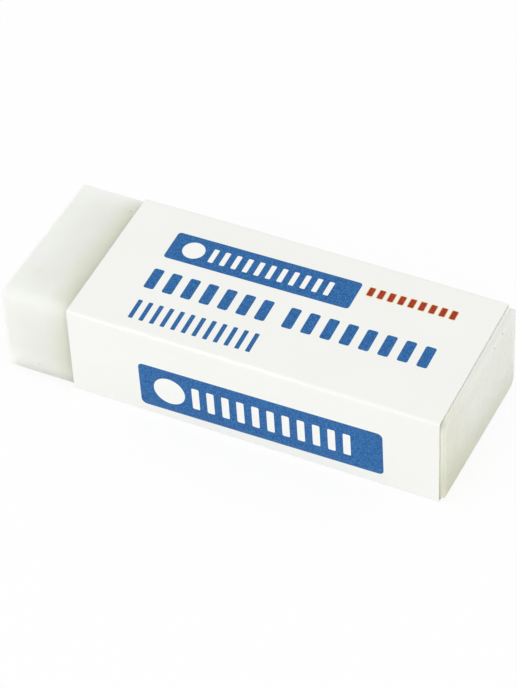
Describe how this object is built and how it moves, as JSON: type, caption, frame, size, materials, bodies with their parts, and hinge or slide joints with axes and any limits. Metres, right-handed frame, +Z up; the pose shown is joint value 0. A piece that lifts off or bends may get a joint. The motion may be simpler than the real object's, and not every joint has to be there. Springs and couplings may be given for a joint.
{
  "type": "rubber eraser",
  "caption": "White block eraser that slides in a folded card sleeve, with one end of the block standing out of the sleeve.",
  "frame": {"origin": "under the middle of the whole object, on the plane of the sleeve's underside", "axes": "+X along the block towards the end that is almost flush with the sleeve, +Z up from the underside"},
  "size_m": [0.0584, 0.0216, 0.0133],
  "materials": {
    "vinyl": "matt white soft vinyl, cut ends slightly mottled",
    "card": "white coated card with flat blue and red print fields"
  },
  "bodies": {
    "sleeve": {"card_sleeve": "card"},
    "block": {"eraser_block": "vinyl"}
  },
  "joints": [
    {"name": "block_slide", "type": "slide", "parent": "sleeve", "child": "block", "axis": [1, 0, 0], "range_m": [-0.044, 0.052]}
  ]
}
